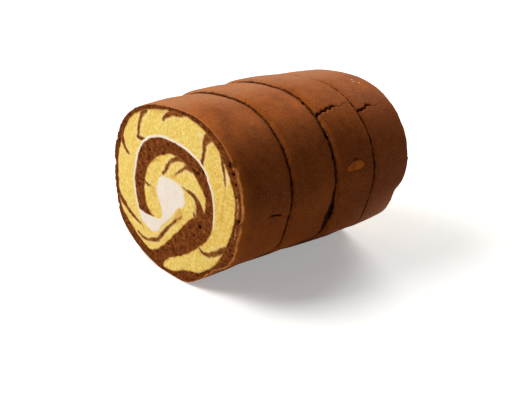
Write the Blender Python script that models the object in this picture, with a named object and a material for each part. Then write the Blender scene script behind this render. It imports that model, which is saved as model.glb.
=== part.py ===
"""Swiss roll cake, cut into slices that still lie together as one roll.

One sheet of two-coloured sponge, a thin chocolate layer under a thick vanilla layer, is spread
with cream and rolled up. Each slice is three solids that run through it from cut to cut: the
chocolate layer, which is also the outside of the roll, the vanilla layer, and the cream with its
thick heart. Metres, +Z up. The roll lies along Y, its open swirl faces -Y, and it rests on Z = 0.
"""

import math
from collections import namedtuple

import bmesh
import bpy
from mathutils import Vector

MM = 0.001

# The swirl as the front cut shows it, in millimetres from the middle of the cut: x right, z up.
# The roll's outside, anticlockwise from its lowest point.
SKIN = (
    (-3.0, -44.4), (6.5, -42.8), (16.5, -37.6), (27.0, -29.0), (38.3, -20.8), (41.6, -14.0),
    (45.8, 0.0), (47.0, 9.0), (43.8, 23.0), (34.0, 35.0), (20.0, 41.0), (4.0, 41.5),
    (-12.0, 39.3), (-27.0, 33.3), (-37.5, 23.7), (-43.5, 12.0), (-45.2, -2.0), (-45.4, -15.0),
    (-42.5, -27.5), (-30.0, -37.5), (-16.3, -42.1),
)
# Where chocolate meets vanilla, from the sheet's outer end round the roll and in to its inner end.
VANILLA_OUTSIDE = (
    (-9.5, -41.0), (-2.0, -40.0), (5.0, -36.7), (16.6, -33.2), (27.3, -25.7), (33.0, -17.9),
    (38.0, -8.6), (41.5, 2.0), (41.8, 12.0), (36.2, 25.4), (24.0, 36.2), (9.0, 39.5),
    (-10.0, 37.2), (-26.5, 30.7), (-36.0, 18.5), (-41.0, 7.0), (-42.6, -6.0), (-42.0, -19.0),
    (-33.4, -28.0), (-21.5, -35.2), (-13.5, -32.8), (0.0, -20.5), (12.3, -8.2), (20.0, -3.5),
    (23.3, 2.5), (21.5, 8.5), (14.4, 15.3), (5.0, 19.2), (-4.0, 17.8), (-12.7, 12.9),
    (-18.8, 5.5), (-21.4, -4.0), (-20.3, -12.5), (-14.9, -16.8),
)
# The outside of the inner turn, from the sheet's outer end to its inner end.
INNER_TURN = (
    (-9.9, -40.1), (-4.9, -34.2), (3.7, -30.0), (15.0, -22.2), (25.0, -12.0), (28.0, -3.0),
    (27.7, 7.0), (23.2, 17.7), (14.4, 23.2), (3.7, 25.2), (-7.0, 25.0), (-17.0, 21.1),
    (-24.0, 13.4), (-28.2, 1.0), (-28.5, -8.0), (-26.9, -16.5),
)
# The cut end of the sheet's chocolate, deep inside the roll.
SHEET_END = ((-14.9, -16.8), (-21.0, -17.4), (-26.9, -16.5))
# The cream where it thickens: under the sheet's inner end, up a neck and round the heart.
CREAM_HEART = (
    (-28.6, -16.2), (-25.2, -21.4), (-18.0, -25.1), (-12.5, -23.5), (-8.6, -18.4), (-1.3, -11.8),
    (2.3, -6.8), (7.3, -4.2), (8.8, -0.8), (6.8, 5.4), (-1.0, 7.1), (-8.4, 5.7),
    (-12.2, -2.0), (-10.6, -6.8), (-8.6, -11.0), (-9.8, -15.6),
)
CREAM_THICKNESS = 1.7
CREAM_START = 0.30          # how far round the inner turn the cream begins to show
CREAM_TAPER = 0.10          # the further part of the turn over which it reaches its thickness
CREAM_TIP = 0.9             # its thickness where it begins

REST_LEVEL = -43.0          # the roll is pressed flat below this height
GAP = 0.3                   # the air between touching layers
SKIN_SPACING = 5.2          # the spacing of the points along each outline
LAYER_SPACING = 5.0
HEART_SPACING = 3.6
EDGE_DEPTH = 1.5            # the skin rounds over this far behind and before a cut
FIRM_HEIGHT = 18.0          # the skin swells fully from this height above the rest
SAG_WAY = Vector((0.97, -0.26))     # behind the front cut the roll sags out this way

# Each slice from front to back: its thickness and the kerf behind it at the top and at the base,
# its sideways shift and its scale at the front and back cuts, how far its skin stands out at the
# front cut, at the shoulder behind it, half-way, before the back cut and at the back cut, and how
# far it sags out at its front and back.
Slice = namedtuple("Slice", "thickness kerf_top kerf_base shift scale swell sag")
SLICES = (
    Slice(26.7, 0.4, 0.7, (0.0, 1.3), (1.000, 0.995), (0.0, 0.3, 0.8, 0.1, -0.4), (0.0, 1.2)),
    Slice(22.5, 0.4, 1.5, (1.1, 4.2), (1.002, 1.008), (-0.4, 1.0, 0.9, 0.1, -0.4), (1.1, 1.5)),
    Slice(20.2, 0.4, 0.7, (4.1, 8.2), (1.012, 1.016), (-0.4, 1.0, 0.8, 0.1, -0.4), (1.4, 1.9)),
    Slice(25.4, 0.0, 0.0, (8.5, 9.0), (1.012, 0.985), (-0.4, 0.3, 0.4, 0.0, -0.8), (1.7, 1.6)),
)

CHOCOLATE = ("chocolate_sponge", (0.150, 0.052, 0.018))
VANILLA = ("vanilla_sponge", (0.800, 0.560, 0.170))
CREAM = ("cream", (0.860, 0.780, 0.680))


def clear_scene():
    for item in list(bpy.data.objects):
        bpy.data.objects.remove(item, do_unlink=True)


def spline_point(before, start, end, after, t):
    """A point of the Catmull-Rom curve between start and end."""
    return 0.5 * (2.0 * start + (end - before) * t
                  + (2.0 * before - 5.0 * start + 4.0 * end - after) * t * t
                  + (3.0 * start - before - 3.0 * end + after) * t * t * t)


def smooth_line(points, spacing, closed=False):
    """Even steps along a smooth curve through the points."""
    knots = [Vector(point) for point in points]
    count = len(knots)
    spans = count if closed else count - 1
    dense = []
    for span in range(spans):
        start, end = knots[span], knots[(span + 1) % count]
        before = knots[span - 1] if closed or span else 2.0 * start - end
        after = knots[(span + 2) % count] if closed or span + 2 < count else 2.0 * end - start
        dense += [spline_point(before, start, end, after, step / 16) for step in range(16)]
    dense.append(knots[0] if closed else knots[-1])
    lengths = [0.0]
    for here, there in zip(dense, dense[1:]):
        lengths.append(lengths[-1] + (there - here).length)
    steps = round(lengths[-1] / spacing)
    line, place = [], 0
    for step in range(steps if closed else steps + 1):
        target = lengths[-1] * step / steps
        while place < len(dense) - 2 and lengths[place + 1] < target:
            place += 1
        part = (target - lengths[place]) / (lengths[place + 1] - lengths[place])
        line.append(dense[place].lerp(dense[place + 1], min(part, 1.0)))
    return line


def side_normal(before, after):
    """The unit normal on the right of the way from before to after."""
    way = (after - before).normalized()
    return Vector((way.y, -way.x))


def inset(outline, distance):
    """An anticlockwise outline drawn in by a distance on every side."""
    count = len(outline)
    drawn = []
    for index, point in enumerate(outline):
        first = side_normal(outline[index - 1], point)
        second = side_normal(point, outline[(index + 1) % count])
        middle = (first + second).normalized()
        reach = distance / max(middle.dot(first), 0.5)
        drawn.append(point - middle * reach)
    return drawn


def cream_outside(turn):
    """The outer side of the cream that lies on the inner turn, and the place where it starts."""
    first = round(CREAM_START * (len(turn) - 1))
    outer = []
    for index in range(first, len(turn) - 1):
        grown = (index - first) / (CREAM_TAPER * len(turn))
        thickness = CREAM_TIP + (CREAM_THICKNESS - CREAM_TIP) * min(grown, 1.0)
        outer.append(turn[index] + side_normal(turn[index - 1], turn[index + 1]) * thickness)
    return first, outer


def swirl_outlines():
    """The closed outlines of the skin, the space inside it, the vanilla and the cream."""
    skin = [Vector((point.x, max(point.y, REST_LEVEL)))
            for point in smooth_line(SKIN, SKIN_SPACING, closed=True)]
    vanilla_out = smooth_line(VANILLA_OUTSIDE, LAYER_SPACING)
    turn = smooth_line(INNER_TURN, LAYER_SPACING)
    sheet_end = [Vector(point) for point in SHEET_END]
    heart = smooth_line(CREAM_HEART, HEART_SPACING)
    first, cream_out = cream_outside(turn)
    inside = vanilla_out + sheet_end[1:-1] + turn[::-1]
    vanilla = vanilla_out + heart[::-1] + cream_out[::-1] + turn[:first][::-1]
    cream = cream_out + heart + sheet_end[:-1] + turn[first:][::-1]
    return skin, inside, inset(vanilla, GAP / 2), inset(cream, GAP / 2)


def cut_planes():
    """The front and back of each slice as (distance along Y at the base, lean for each mm up)."""
    height = max(point[1] for point in SKIN) - REST_LEVEL
    planes, place, front_opening = [], 0.0, 0.0
    for piece in SLICES:
        opening = (piece.kerf_base - piece.kerf_top) / 2
        front = (place + front_opening, -front_opening / height)
        place += piece.thickness
        back = (place - opening, opening / height)
        planes.append((front, back))
        place += piece.kerf_top
        front_opening = opening
    return planes


def place_point(piece, planes, part, point):
    """A point of the swirl put at a part (0 front, 1 back) of a slice, in metres."""
    scale = piece.scale[0] + (piece.scale[1] - piece.scale[0]) * part
    shift = piece.shift[0] + (piece.shift[1] - piece.shift[0]) * part
    height = (point.y - REST_LEVEL) * scale
    front, back = (base + lean * height for base, lean in planes)
    along = front + (back - front) * part
    return Vector((point.x * scale + shift, along, height)) * MM


def skin_ring(skin, piece, planes, part, swell):
    """The skin at one depth of a slice, swollen and sagging out except where it rests."""
    sag = piece.sag[0] + (piece.sag[1] - piece.sag[0]) * part
    ring = []
    for index, point in enumerate(skin):
        normal = side_normal(skin[index - 1], skin[(index + 1) % len(skin)])
        firm = min((point.y - REST_LEVEL) / FIRM_HEIGHT, 1.0)
        growth = swell + sag * max(normal.dot(SAG_WAY), 0.0) ** 3
        ring.append(place_point(piece, planes, part, point + normal * growth * firm))
    return ring


def loft(name, rings):
    """A closed mesh object through rings of equal length, the first one facing -Y."""
    shape = bmesh.new()
    loops = [[shape.verts.new(corner) for corner in ring] for ring in rings]
    count = len(loops[0])
    for near, far in zip(loops, loops[1:]):
        for index in range(count):
            after = (index + 1) % count
            shape.faces.new((near[index], near[after], far[after], far[index]))
    shape.faces.new(loops[0])
    shape.faces.new(loops[-1][::-1])
    bmesh.ops.recalc_face_normals(shape, faces=shape.faces)
    mesh = bpy.data.meshes.new(name)
    shape.to_mesh(mesh)
    shape.free()
    item = bpy.data.objects.new(name, mesh)
    bpy.context.collection.objects.link(item)
    return item


def food_material(name, colour):
    material = bpy.data.materials.new(name)
    material.use_nodes = True
    shader = material.node_tree.nodes["Principled BSDF"]
    shader.inputs["Base Color"].default_value = (*colour, 1.0)
    shader.inputs["Roughness"].default_value = 0.85
    shader.inputs["Metallic"].default_value = 0.0
    return material


def add_chocolate(number, piece, planes, skin, inside, material):
    """The chocolate layer: the whole slice, cut through where the vanilla and cream lie."""
    edge = EDGE_DEPTH / piece.thickness
    depths = (0.0, edge, 0.5, 1.0 - edge, 1.0)
    body = loft(f"chocolate_sponge_{number}",
                [skin_ring(skin, piece, planes, part, swell)
                 for part, swell in zip(depths, piece.swell)])
    cutter = loft(f"filling_space_{number}",
                  [[place_point(piece, planes, part, point) for point in inside]
                   for part in (-0.1, 1.1)])
    cutter.hide_render = True
    cutter.display_type = "WIRE"
    cut = body.modifiers.new("filling_space", "BOOLEAN")
    cut.operation = "DIFFERENCE"
    cut.object = cutter
    body.data.materials.append(material)
    return body, cutter


def add_layer(name, piece, planes, outline, material):
    """A layer that runs straight through the slice from cut to cut."""
    layer = loft(name, [[place_point(piece, planes, part, point) for point in outline]
                        for part in (0.0, 1.0)])
    layer.data.materials.append(material)
    return layer


def build():
    clear_scene()
    skin, inside, vanilla, cream = swirl_outlines()
    looks = {name: food_material(name, colour) for name, colour in (CHOCOLATE, VANILLA, CREAM)}
    parts = []
    for number, (piece, planes) in enumerate(zip(SLICES, cut_planes()), start=1):
        parts += add_chocolate(number, piece, planes, skin, inside, looks["chocolate_sponge"])
        parts.append(add_layer(f"vanilla_sponge_{number}", piece, planes, vanilla,
                               looks["vanilla_sponge"]))
        parts.append(add_layer(f"cream_{number}", piece, planes, cream, looks["cream"]))
    corners = [corner.co for item in parts if not item.hide_render for corner in item.data.vertices]
    middle_x = (min(c.x for c in corners) + max(c.x for c in corners)) / 2
    middle_y = (min(c.y for c in corners) + max(c.y for c in corners)) / 2
    roll = bpy.data.objects.new("roll", None)
    roll.location = (-middle_x, -middle_y, 0.0)
    bpy.context.collection.objects.link(roll)
    for item in parts:
        item.parent = roll


build()
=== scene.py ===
# Swiss roll cake: four slices of one roll of two-coloured sponge and cream, lying together.
import itertools
import math

import bmesh
import bpy
import numpy as np
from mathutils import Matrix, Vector
from mathutils.bvhtree import BVHTree
from mathutils.geometry import delaunay_2d_cdt
from mathutils.kdtree import KDTree


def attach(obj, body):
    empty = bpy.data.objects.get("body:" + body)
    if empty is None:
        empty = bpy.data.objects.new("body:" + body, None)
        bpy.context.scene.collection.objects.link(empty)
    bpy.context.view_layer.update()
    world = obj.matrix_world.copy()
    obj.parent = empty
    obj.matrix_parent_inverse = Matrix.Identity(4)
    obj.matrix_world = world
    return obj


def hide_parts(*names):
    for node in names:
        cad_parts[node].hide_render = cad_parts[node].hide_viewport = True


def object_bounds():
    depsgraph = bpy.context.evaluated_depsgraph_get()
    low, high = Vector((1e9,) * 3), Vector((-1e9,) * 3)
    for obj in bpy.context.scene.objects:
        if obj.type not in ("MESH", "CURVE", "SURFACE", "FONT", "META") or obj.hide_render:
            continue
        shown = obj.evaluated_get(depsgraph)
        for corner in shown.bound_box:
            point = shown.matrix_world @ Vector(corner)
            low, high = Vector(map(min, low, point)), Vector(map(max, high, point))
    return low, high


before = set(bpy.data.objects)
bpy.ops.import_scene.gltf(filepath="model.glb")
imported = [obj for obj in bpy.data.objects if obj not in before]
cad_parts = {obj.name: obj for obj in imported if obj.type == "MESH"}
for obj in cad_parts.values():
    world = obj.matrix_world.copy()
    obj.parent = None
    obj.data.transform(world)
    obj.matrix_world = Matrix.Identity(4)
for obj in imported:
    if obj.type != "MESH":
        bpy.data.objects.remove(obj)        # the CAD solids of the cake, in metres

cad_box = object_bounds()

# ---------------------------------------------------------------------------------------------
# The studio: a pale floor under a large soft light that stands in front of the cake, to its left
# and above. Little light comes from the right, so the long flank there is in shade.
LOOK_AT = Vector((0.0200, -0.0213, 0.0406))
CAMERA_DISTANCE = 0.3786
CAMERA_AZIMUTH = math.radians(47.32)     # round from the open cut towards the right flank
CAMERA_RISE = math.radians(25.05)
CAMERA_LENS = 59.8


def way_to(azimuth, rise):
    """The direction from the cake to something that stands round to its right and above it."""
    return Vector((math.sin(azimuth) * math.cos(rise), -math.cos(azimuth) * math.cos(rise),
                   math.sin(rise)))


camera_data = bpy.data.cameras.new("studio_camera")
camera_data.lens = CAMERA_LENS
camera_data.sensor_width = 36.0
camera_data.clip_start = 0.01
camera = bpy.data.objects.new("studio_camera", camera_data)
camera_way = way_to(CAMERA_AZIMUTH, CAMERA_RISE)
camera.location = LOOK_AT + camera_way * CAMERA_DISTANCE
camera.rotation_euler = camera_way.to_track_quat("Z", "Y").to_euler()
bpy.context.scene.collection.objects.link(camera)
bpy.context.scene.camera = camera
bpy.context.scene.view_settings.view_transform = "Standard"


def add_soft_light(name, azimuth, rise, distance, size, power, colour):
    """A square soft box that faces the cake."""
    data = bpy.data.lights.new(name, "AREA")
    data.size = size
    data.energy = power
    data.color = colour
    light = bpy.data.objects.new(name, data)
    way = way_to(math.radians(azimuth), math.radians(rise))
    light.location = Vector((0.0, 0.0, 0.04)) + way * distance
    light.rotation_euler = way.to_track_quat("Z", "Y").to_euler()
    bpy.context.scene.collection.objects.link(light)


add_soft_light("key_light", -38.0, 46.0, 0.9, 0.55, 9.6, (1.0, 0.99, 0.97))
add_soft_light("back_light", 198.0, 40.0, 0.9, 0.60, 6.4, (1.0, 0.98, 0.95))
add_soft_light("top_light", 0.0, 85.0, 0.9, 0.60, 0.6, (1.0, 0.98, 0.95))
add_soft_light("right_light", 122.0, 5.0, 0.5, 0.25, 0.15, (1.0, 0.86, 0.70))
add_soft_light("left_light", -35.0, 15.0, 0.9, 0.50, 0.40, (1.0, 0.98, 0.95))

world = bpy.data.worlds.new("studio")
bpy.context.scene.world = world
world.use_nodes = True
nodes = world.node_tree.nodes
nodes.clear()
seen_walls = nodes.new("ShaderNodeBackground")
seen_walls.inputs["Color"].default_value = (1.0, 1.0, 1.0, 1.0)
lit_walls = nodes.new("ShaderNodeBackground")
lit_walls.inputs["Color"].default_value = (1.0, 0.90, 0.78, 1.0)
lit_walls.inputs["Strength"].default_value = 0.04
chosen_walls = nodes.new("ShaderNodeMixShader")
ray = nodes.new("ShaderNodeLightPath")
air = nodes.new("ShaderNodeOutputWorld")
world.node_tree.links.new(ray.outputs["Is Camera Ray"], chosen_walls.inputs[0])
world.node_tree.links.new(lit_walls.outputs[0], chosen_walls.inputs[1])
world.node_tree.links.new(seen_walls.outputs[0], chosen_walls.inputs[2])
world.node_tree.links.new(chosen_walls.outputs[0], air.inputs["Surface"])

floor_mesh = bpy.data.meshes.new("studio_floor")
FLOOR_REACH = 6.0
floor_mesh.from_pydata([(-FLOOR_REACH, -FLOOR_REACH, 0), (FLOOR_REACH, -FLOOR_REACH, 0),
                        (FLOOR_REACH, FLOOR_REACH, 0), (-FLOOR_REACH, FLOOR_REACH, 0)],
                       [], [(0, 1, 2, 3)])
floor = bpy.data.objects.new("studio_floor", floor_mesh)
floor.location.z = cad_box[0][2] - 0.0002
bpy.context.scene.collection.objects.link(floor)
floor_paint = bpy.data.materials.new("floor_paint")
floor_paint.use_nodes = True
paint = floor_paint.node_tree.nodes["Principled BSDF"]
paint.inputs["Roughness"].default_value = 0.9
paint.inputs["Specular IOR Level"].default_value = 0.0
paint.inputs["Emission Strength"].default_value = 0.34
seen_floor = floor_paint.node_tree.nodes.new("ShaderNodeLightPath")
for socket, off_camera, on_camera in (("Base Color", 0.62, 0.80), ("Emission Color", 0.0, 1.0)):
    tone = floor_paint.node_tree.nodes.new("ShaderNodeMapRange")
    tone.inputs["To Min"].default_value = off_camera
    tone.inputs["To Max"].default_value = on_camera
    floor_paint.node_tree.links.new(seen_floor.outputs["Is Camera Ray"], tone.inputs["Value"])
    floor_paint.node_tree.links.new(tone.outputs["Result"], paint.inputs[socket])
floor_mesh.materials.append(floor_paint)

# ---------------------------------------------------------------------------------------------
# Shared finishes: the foam of the crumb, whose holes are painted as fine dark dots of shade,
# and the mottling of anything baked.


def add_node(tree, kind, links=(), values=(), **settings):
    """A node with its settings, its plain values and the sockets that feed it."""
    node = tree.nodes.new(kind)
    for name, value in settings.items():
        setattr(node, name, value)
    for name, value in dict(values).items():
        node.inputs[name].default_value = value
    for name, source in dict(links).items():
        tree.links.new(source, node.inputs[name])
    return node


def noise(tree, place, scale, detail=3.0, roughness=0.55):
    node = add_node(tree, "ShaderNodeTexNoise", {"Vector": place},
                    {"Scale": scale, "Detail": detail, "Roughness": roughness})
    return node.outputs["Fac"]


def step_between(tree, value, low, high, out_low=0.0, out_high=1.0):
    """A smooth step as the value goes from low to high."""
    node = add_node(tree, "ShaderNodeMapRange", {"Value": value},
                    {"From Min": low, "From Max": high, "To Min": out_low, "To Max": out_high},
                    interpolation_type="SMOOTHSTEP")
    return node.outputs["Result"]


def calculate(tree, operation, first, second=None, clamp=False):
    node = add_node(tree, "ShaderNodeMath", operation=operation, use_clamp=clamp)
    for index, value in enumerate((first, second)):
        if value is None:
            continue
        if isinstance(value, (int, float)):
            node.inputs[index].default_value = value
        else:
            tree.links.new(value, node.inputs[index])
    return node.outputs[0]


def blurred(tree, value, place, scale, amount, detail=3.0):
    """A measure with noise added, so that whatever it bounds gets a ragged outline."""
    waver = calculate(tree, "SUBTRACT", noise(tree, place, scale, detail, 0.62), 0.5)
    return calculate(tree, "ADD", value, calculate(tree, "MULTIPLY", waver, amount))


def over(tree, factor, first, second, strength=1.0):
    """The second colour over the first, by a factor; either is a colour or a socket."""
    if strength != 1.0:
        factor = calculate(tree, "MULTIPLY", factor, strength)
    node = add_node(tree, "ShaderNodeMix", data_type="RGBA")
    for index, value in ((0, factor), (6, first), (7, second)):
        if isinstance(value, tuple):
            node.inputs[index].default_value = (*value, 1.0)
        elif isinstance(value, (int, float)):
            node.inputs[index].default_value = value
        else:
            tree.links.new(value, node.inputs[index])
    return node.outputs[2]


def mark(tree, name):
    """A measure that the mesh carries."""
    return add_node(tree, "ShaderNodeAttribute", attribute_name=name).outputs["Fac"]


def new_group(name, inputs, outputs):
    """A shader group with its input values and its outputs, and its two end nodes."""
    tree = bpy.data.node_groups.new(name, "ShaderNodeTree")
    for label, kind, value in inputs:
        socket = tree.interface.new_socket(name=label, in_out="INPUT", socket_type=kind)
        if value is not None:
            socket.default_value = value
    for label, kind in outputs:
        tree.interface.new_socket(name=label, in_out="OUTPUT", socket_type=kind)
    return tree, tree.nodes.new("NodeGroupInput"), tree.nodes.new("NodeGroupOutput")


def use_group(tree, group, place, **values):
    node = tree.nodes.new("ShaderNodeGroup")
    node.node_tree = group
    tree.links.new(place, node.inputs["Place"])
    for name, value in values.items():
        node.inputs[name.replace("_", " ")].default_value = value
    return node


foam, foam_in, foam_out = new_group(
    "baked_foam",
    (("Place", "NodeSocketVector", None), ("Holes per Metre", "NodeSocketFloat", 1200.0),
     ("Hole Size", "NodeSocketFloat", 0.32)),
    (("Holes", "NodeSocketFloat"), ("Height", "NodeSocketFloat")))
wobble = add_node(foam, "ShaderNodeTexNoise", {"Vector": foam_in.outputs["Place"]},
                  {"Scale": 900.0, "Detail": 2.0})
wobble_small = add_node(foam, "ShaderNodeVectorMath", {0: wobble.outputs["Color"]},
                        {"Scale": 0.0007}, operation="SCALE")
bent_place = add_node(foam, "ShaderNodeVectorMath",
                      {0: foam_in.outputs["Place"], 1: wobble_small.outputs[0]}, operation="ADD")
cells = add_node(foam, "ShaderNodeTexVoronoi",
                 {"Vector": bent_place.outputs[0], "Scale": foam_in.outputs["Holes per Metre"]})
close = calculate(foam, "DIVIDE", cells.outputs["Distance"], foam_in.outputs["Hole Size"])
hole_mask = step_between(foam, close, 1.15, 0.45)
grain = noise(foam, foam_in.outputs["Place"], 2600.0, 3.0, 0.6)
height = calculate(foam, "SUBTRACT", calculate(foam, "MULTIPLY", grain, 0.5), hole_mask)
foam.links.new(hole_mask, foam_out.inputs["Holes"])
foam.links.new(height, foam_out.inputs["Height"])

mottle, mottle_in, mottle_out = new_group(
    "baked_mottle",
    (("Place", "NodeSocketVector", None), ("Patches per Metre", "NodeSocketFloat", 60.0),
     ("Contrast", "NodeSocketFloat", 1.0)),
    (("Shade", "NodeSocketFloat"),))
broad = add_node(mottle, "ShaderNodeTexNoise",
                 {"Vector": mottle_in.outputs["Place"], "Scale": mottle_in.outputs["Patches per Metre"]},
                 {"Detail": 5.0, "Roughness": 0.62})
centred = calculate(mottle, "SUBTRACT", broad.outputs["Fac"], 0.5)
contrast = calculate(mottle, "MULTIPLY", centred, mottle_in.outputs["Contrast"])
mottle.links.new(calculate(mottle, "ADD", contrast, 0.5, clamp=True), mottle_out.inputs["Shade"])


def mottled(tree, place, per_metre, contrast):
    """The mottling's shade, from 0 to 1."""
    return use_group(tree, mottle, place, Patches_per_Metre=per_metre,
                     Contrast=contrast).outputs["Shade"]


def food_finish(name, roughness, specular):
    """A material with its tree, its shader and the place that its patterns are read at."""
    material = bpy.data.materials.new(name)
    material.use_nodes = True
    tree = material.node_tree
    shader = tree.nodes["Principled BSDF"]
    shader.inputs["Roughness"].default_value = roughness
    shader.inputs["Specular IOR Level"].default_value = specular
    place = add_node(tree, "ShaderNodeTexCoord").outputs["Object"]
    return material, tree, shader, place


def raise_surface(tree, shader, height, distance, strength=1.0):
    bump = add_node(tree, "ShaderNodeBump", {"Height": height},
                    {"Distance": distance, "Strength": strength})
    tree.links.new(bump.outputs["Normal"], shader.inputs["Normal"])


# ---------------------------------------------------------------------------------------------
# The crumb's own unevenness: hills and holes in the baked foam, from numbers that never change.
def chance(cells, seed):
    """A number from 0 to 1 for each whole-numbered cell."""
    mixed = (cells[:, 0] * 73856093) ^ (cells[:, 1] * 19349663) ^ (cells[:, 2] * 83492791)
    mixed = (mixed ^ (seed * 374761393)) & 0x7FFFFFFF
    mixed = ((mixed ^ (mixed >> 13)) * 1274126177) & 0x7FFFFFFF
    mixed = ((mixed ^ (mixed >> 16)) * 668265263) & 0x7FFFFFFF
    return (mixed >> 7) / float(1 << 24)


def hills(places, size, seed):
    """Smooth hills and dips from 1 to -1, about size across."""
    shape = places.shape[:-1]
    places = places.reshape(-1, 3)
    cell = np.floor(places / size).astype(np.int64)
    part = places / size - cell
    part = part * part * (3.0 - 2.0 * part)
    total = np.zeros(len(places))
    for corner in itertools.product((0, 1), repeat=3):
        weight = np.prod(np.where(corner, part, 1.0 - part), axis=1)
        total += weight * chance(cell + corner, seed)
    return (2.0 * total - 1.0).reshape(shape)


def holes(places, spacing, radius, seed):
    """How deep each place lies in round holes, from 0 at their rims to 1 at their bottoms."""
    cell = np.floor(places / spacing).astype(np.int64)
    depth = np.zeros(len(places))
    for step in itertools.product((-1, 0, 1), repeat=3):
        near = cell + step
        middle = near + np.column_stack([chance(near, seed + axis) for axis in (1, 2, 3)])
        reach = radius * (0.55 + 0.9 * chance(near, seed + 4) ** 2)
        distance = np.linalg.norm(places - middle * spacing, axis=1)
        depth = np.maximum(depth, 1.0 - (distance / reach) ** 2)
    return depth


def fade(value, start, end):
    """0 up to start, 1 from end on, and a smooth step between."""
    part = np.clip((value - start) / (end - start), 0.0, 1.0)
    return part * part * (3.0 - 2.0 * part)


# ---------------------------------------------------------------------------------------------
# The cuts: a knife has gone through the rolled sheet four times. Each slice takes its layers'
# outlines from the solids' own cuts, in millimetres, and smooths them between the corners.
MM = 0.001
BORDER_SPACING = 0.42        # along the layers' borders
CORNER_TURN = math.radians(50)
FLAT = [0, 2]                # x and z, the plane of a cut


def joined_mesh(node):
    """A node's mesh in millimetres, with the corners that its faces share joined."""
    shape = bmesh.new()
    shape.from_mesh(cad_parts[node].data)
    bmesh.ops.scale(shape, vec=(1000.0, 1000.0, 1000.0), verts=shape.verts)
    bmesh.ops.remove_doubles(shape, verts=shape.verts, dist=0.001)
    shape.normal_update()
    return shape


def line_length(line):
    return np.linalg.norm(np.diff(line, axis=0), axis=1).sum()


def cut_loops(node, way):
    """The outlines of the cut that faces -Y (way -1) or +Y (way 1), the longest first."""
    shape = joined_mesh(node)
    cut = {face for face in shape.faces if face.normal.y * way > 0.95}
    after = {}
    for face in cut:
        for corner in face.loops:
            if not any(other in cut for other in corner.edge.link_faces if other is not face):
                after[corner.vert] = corner.link_loop_next.vert
    loops = []
    while after:
        vert = next(iter(after))
        ring = []
        while vert in after:
            ring.append(tuple(vert.co))
            vert = after.pop(vert)
        loops.append(np.array(ring[::-1] if way > 0 else ring))
    shape.free()
    return sorted(loops, key=line_length, reverse=True)


def even_steps(line, spacing):
    """Points at an even spacing along a line, with both of its ends."""
    lengths = np.concatenate(([0.0], np.cumsum(np.linalg.norm(np.diff(line, axis=0), axis=1))))
    wanted = np.linspace(0.0, lengths[-1], max(1, round(lengths[-1] / spacing)) + 1)
    return np.column_stack([np.interp(wanted, lengths, column) for column in line.T])


def curve_through(knots, spacing):
    """Even steps along a smooth open curve through the knots."""
    knots = np.asarray(knots, float)
    line = np.vstack((2 * knots[0] - knots[1], knots, 2 * knots[-1] - knots[-2]))
    t = np.linspace(0.0, 1.0, 12, endpoint=False)[:, None]
    dense = [0.5 * (2 * start + (end - before) * t
                    + (2 * before - 5 * start + 4 * end - beyond) * t ** 2
                    + (3 * start - before - 3 * end + beyond) * t ** 3)
             for before, start, end, beyond in zip(line, line[1:], line[2:], line[3:])]
    return even_steps(np.vstack(dense + [knots[-1:]]), spacing)


def smooth_ring(ring, spacing):
    """A closed outline smoothed between its sharp corners, which stay."""
    ahead = np.roll(ring, -1, axis=0) - ring
    behind = ring - np.roll(ring, 1, axis=0)
    turn = np.arctan2(behind[:, 0] * ahead[:, 1] - behind[:, 1] * ahead[:, 0],
                      (behind * ahead).sum(axis=1))
    corners = np.flatnonzero(np.abs(turn) > CORNER_TURN)
    ring = np.roll(ring, -corners[0], axis=0)
    stops = list(corners - corners[0]) + [len(ring)]
    ring = np.vstack((ring, ring[:1]))
    return np.vstack([curve_through(ring[start:stop + 1], spacing)[:-1]
                      for start, stop in zip(stops, stops[1:])])


def tree_of(points):
    tree = KDTree(len(points))
    for index, point in enumerate(points):
        tree.insert((point[0], point[1], 0.0), index)
    tree.balance()
    return tree


def distance_to(tree, points):
    """How far each point lies from the nearest one in the tree."""
    return np.array([tree.find((x, z, 0.0))[2] for x, z in points])


class Cut:
    """One end of a slice: the plane of the cut, and the vanilla's middle and width on it."""

    def __init__(self, number, way):
        self.way = way
        loop = cut_loops(f"vanilla_sponge_{number}", way)[0]
        self.lean, self.base = np.polyfit(loop[:, 2], loop[:, 1], 1)
        low, high = loop[:, FLAT].min(axis=0), loop[:, FLAT].max(axis=0)
        self.middle = (low + high) / 2
        self.size = high - low

    def depth(self, height):
        return self.base + self.lean * height


# ---------------------------------------------------------------------------------------------
# The skin: the baked outside of the chocolate sheet, satin and brown. It has wrinkled a little,
# it has split along the roll at two cuts, and the knife has torn its edge at the open cut's right.
SKIN_INSET = 0.12            # keeps the smoothed skin inside the solid's flat facets
FACET_BLUR = 2.4             # how far round the roll the facets are smoothed
AROUND = 720                 # the steps round the skin
ROW_SPACING = 0.5            # along the skin from cut to cut
EDGE_ROWS = np.array((0.0, 0.22, 0.46, 0.74, 1.08))      # the closer rows beside a cut
BODY_WAVES = ((26.0, 0.22), (9.0, 0.14), (3.2, 0.05), (1.3, 0.02))    # size and height
WEAR = {1: 0.19, 2: 0.30, 3: 0.20}       # how far each inner cut's edges are worn back
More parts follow.
